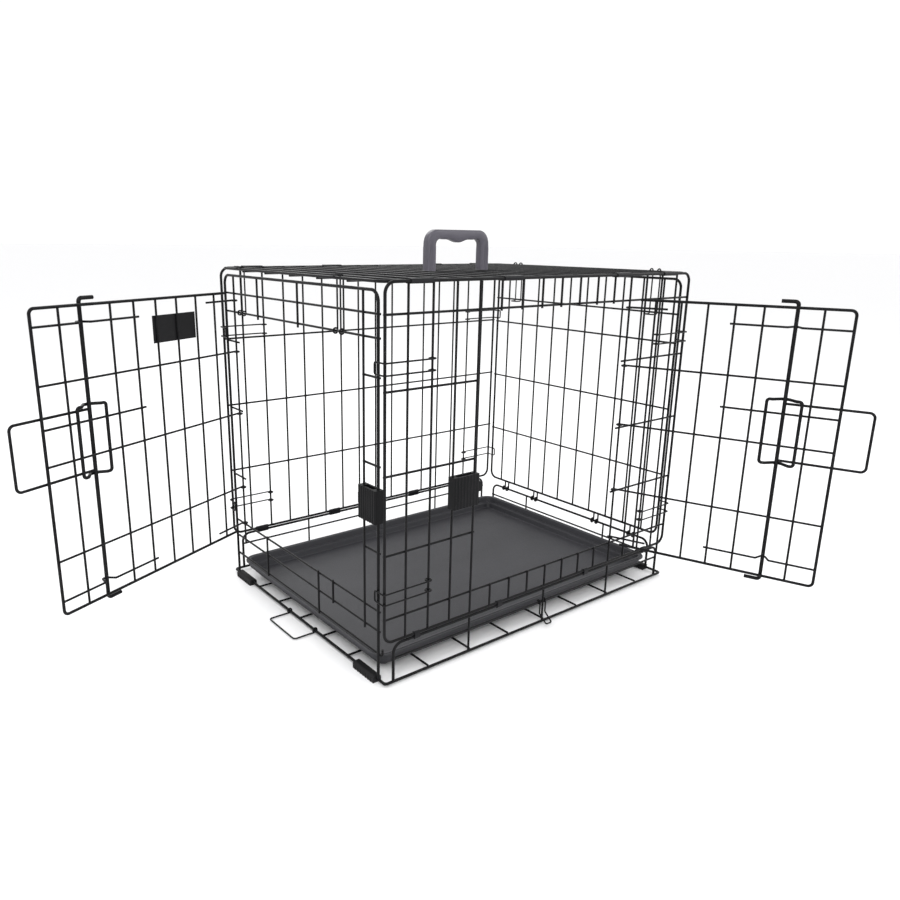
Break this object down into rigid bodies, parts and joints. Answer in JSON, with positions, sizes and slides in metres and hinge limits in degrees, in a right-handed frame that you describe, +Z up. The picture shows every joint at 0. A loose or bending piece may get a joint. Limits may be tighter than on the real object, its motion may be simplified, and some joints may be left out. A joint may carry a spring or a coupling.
{
  "type": "wire dog crate",
  "caption": "Two-door black wire pet crate with a slide-out tray, top carry handle, turning latch rods, and wire clips that lock its panels.",
  "frame": {"origin": "centre of the crate's footprint, on the floor", "axes": "+X along the long side, away from the end with a door; +Y from the door side to the back; +Z up"},
  "size_m": [0.9871, 0.7837, 0.5967],
  "materials": {
    "wire_black": "satin black e-coat on steel wire",
    "sleeve_steel": "satin black coated steel strip",
    "keeper_plastic": "black moulded plastic",
    "foot_rubber": "black rubber",
    "tray_plastic": "charcoal moulded plastic with a fine grain",
    "grip_plastic": "dark grey moulded plastic",
    "plate_plastic": "plain black plastic"
  },
  "bodies": {
    "shell": {"base_floor": "wire_black", "base_front_upstand": "wire_black", "base_back_upstand": "wire_black", "base_right_upstand": "wire_black", "left_front_foot": "foot_rubber", "left_back_foot": "foot_rubber", "right_front_foot": "foot_rubber", "right_back_foot": "foot_rubber", "front_panel": "wire_black", "back_panel": "wire_black", "left_end_panel": "wire_black", "top_panel": "wire_black", "top_front_hinges": "sleeve_steel", "top_back_hinges": "sleeve_steel", "base_front_hinges": "sleeve_steel", "base_back_hinges": "sleeve_steel", "front_strike": "keeper_plastic", "left_strike": "keeper_plastic"},
    "front_door": {"front_door": "wire_black", "front_latch_guide": "wire_black"},
    "front_latch": {"front_latch_rod": "wire_black", "front_latch_handle": "wire_black"},
    "left_door": {"left_door": "wire_black", "left_latch_guide": "wire_black", "left_door_plate": "plate_plastic"},
    "left_latch": {"left_latch_rod": "wire_black", "left_latch_handle": "wire_black"},
    "carry_handle": {"carry_handle": "grip_plastic"},
    "tray": {"tray": "tray_plastic"},
    "tray_stop": {"tray_stop": "wire_black"},
    "fold_hook": {"fold_hook": "wire_black"},
    "right_end": {"right_end_panel": "wire_black", "right_end_hinges": "wire_black"},
    "front_left_low_clip": {"front_left_low_clip": "wire_black"},
    "front_left_high_clip": {"front_left_high_clip": "wire_black"},
    "front_right_low_clip": {"front_right_low_clip": "wire_black"},
    "front_right_high_clip": {"front_right_high_clip": "wire_black"},
    "back_left_low_clip": {"back_left_low_clip": "wire_black"},
    "back_left_high_clip": {"back_left_high_clip": "wire_black"},
    "back_right_low_clip": {"back_right_low_clip": "wire_black"},
    "back_right_high_clip": {"back_right_high_clip": "wire_black"},
    "left_top_front_clip": {"left_top_front_clip": "wire_black"},
    "left_top_back_clip": {"left_top_back_clip": "wire_black"},
    "right_top_front_clip": {"right_top_front_clip": "wire_black"},
    "right_top_back_clip": {"right_top_back_clip": "wire_black"}
  },
  "joints": [
    {"name": "front_door_hinge", "type": "hinge", "parent": "shell", "child": "front_door", "pos_m": [0.15451, -0.2286, 0.296], "axis": [0, 0, 1], "range_deg": [-110, 40]},
    {"name": "left_door_hinge", "type": "hinge", "parent": "shell", "child": "left_door", "pos_m": [-0.3048, 0.183, 0.296], "axis": [0, 0, -1], "range_deg": [-65, 85]},
    {"name": "front_latch_turn", "type": "hinge", "parent": "front_door", "child": "front_latch", "pos_m": [0.24449, -0.44197, 0.319], "axis": [0, 0, 1], "range_deg": [0, 90]},
    {"name": "left_latch_turn", "type": "hinge", "parent": "left_door", "child": "left_latch", "pos_m": [-0.56708, 0.07346, 0.319], "axis": [0, 0, -1], "range_deg": [0, 90]},
    {"name": "carry_handle_fold", "type": "hinge", "parent": "shell", "child": "carry_handle", "pos_m": [0, 0, 0.53068], "axis": [1, 0, 0], "range_deg": [-75, 75]},
    {"name": "tray_slide", "type": "slide", "parent": "shell", "child": "tray", "axis": [-1, 0, 0], "range_m": [0, 0.55]},
    {"name": "tray_stop_swing", "type": "hinge", "parent": "shell", "child": "tray_stop", "pos_m": [-0.3048, -0.0075, 0.0055], "axis": [0, -1, 0], "range_deg": [-90, 0]},
    {"name": "fold_hook_swing", "type": "hinge", "parent": "shell", "child": "fold_hook", "pos_m": [0, -0.22588, 0.037], "axis": [-1, 0, 0], "range_deg": [0, 40]},
    {"name": "right_end_fold", "type": "hinge", "parent": "shell", "child": "right_end", "pos_m": [0.3013, 0, 0.0595], "axis": [0, -1, 0], "range_deg": [0, 88]},
    {"name": "front_left_low_clip_swing", "type": "hinge", "parent": "shell", "child": "front_left_low_clip", "pos_m": [-0.23177, -0.2286, 0.13], "axis": [0, 0, 1], "range_deg": [0, 90]},
    {"name": "front_left_high_clip_swing", "type": "hinge", "parent": "shell", "child": "front_left_high_clip", "pos_m": [-0.23177, -0.2286, 0.431], "axis": [0, 0, 1], "range_deg": [0, 90]},
    {"name": "front_right_low_clip_swing", "type": "hinge", "parent": "shell", "child": "front_right_low_clip", "pos_m": [0.23177, -0.2286, 0.13], "axis": [0, 0, 1], "range_deg": [-90, 0]},
    {"name": "front_right_high_clip_swing", "type": "hinge", "parent": "shell", "child": "front_right_high_clip", "pos_m": [0.23177, -0.2286, 0.431], "axis": [0, 0, 1], "range_deg": [-90, 0]},
    {"name": "back_left_low_clip_swing", "type": "hinge", "parent": "shell", "child": "back_left_low_clip", "pos_m": [-0.23177, 0.2286, 0.13], "axis": [0, 0, -1], "range_deg": [0, 90]},
    {"name": "back_left_high_clip_swing", "type": "hinge", "parent": "shell", "child": "back_left_high_clip", "pos_m": [-0.23177, 0.2286, 0.431], "axis": [0, 0, -1], "range_deg": [0, 90]},
    {"name": "back_right_low_clip_swing", "type": "hinge", "parent": "shell", "child": "back_right_low_clip", "pos_m": [0.23177, 0.2286, 0.13], "axis": [0, 0, 1], "range_deg": [0, 90]},
    {"name": "back_right_high_clip_swing", "type": "hinge", "parent": "shell", "child": "back_right_high_clip", "pos_m": [0.23177, 0.2286, 0.431], "axis": [0, 0, 1], "range_deg": [0, 90]},
    {"name": "left_top_front_clip_swing", "type": "hinge", "parent": "shell", "child": "left_top_front_clip", "pos_m": [-0.30208, -0.122, 0.466], "axis": [0, 1, 0], "range_deg": [0, 150]},
    {"name": "left_top_back_clip_swing", "type": "hinge", "parent": "shell", "child": "left_top_back_clip", "pos_m": [-0.30208, 0.16267, 0.466], "axis": [0, 1, 0], "range_deg": [0, 150]},
    {"name": "right_top_front_clip_swing", "type": "hinge", "parent": "shell", "child": "right_top_front_clip", "pos_m": [0.3048, -0.16267, 0.5334], "axis": [0, -1, 0], "range_deg": [0, 100]},
    {"name": "right_top_back_clip_swing", "type": "hinge", "parent": "shell", "child": "right_top_back_clip", "pos_m": [0.3048, 0.16267, 0.5334], "axis": [0, -1, 0], "range_deg": [0, 100]}
  ]
}
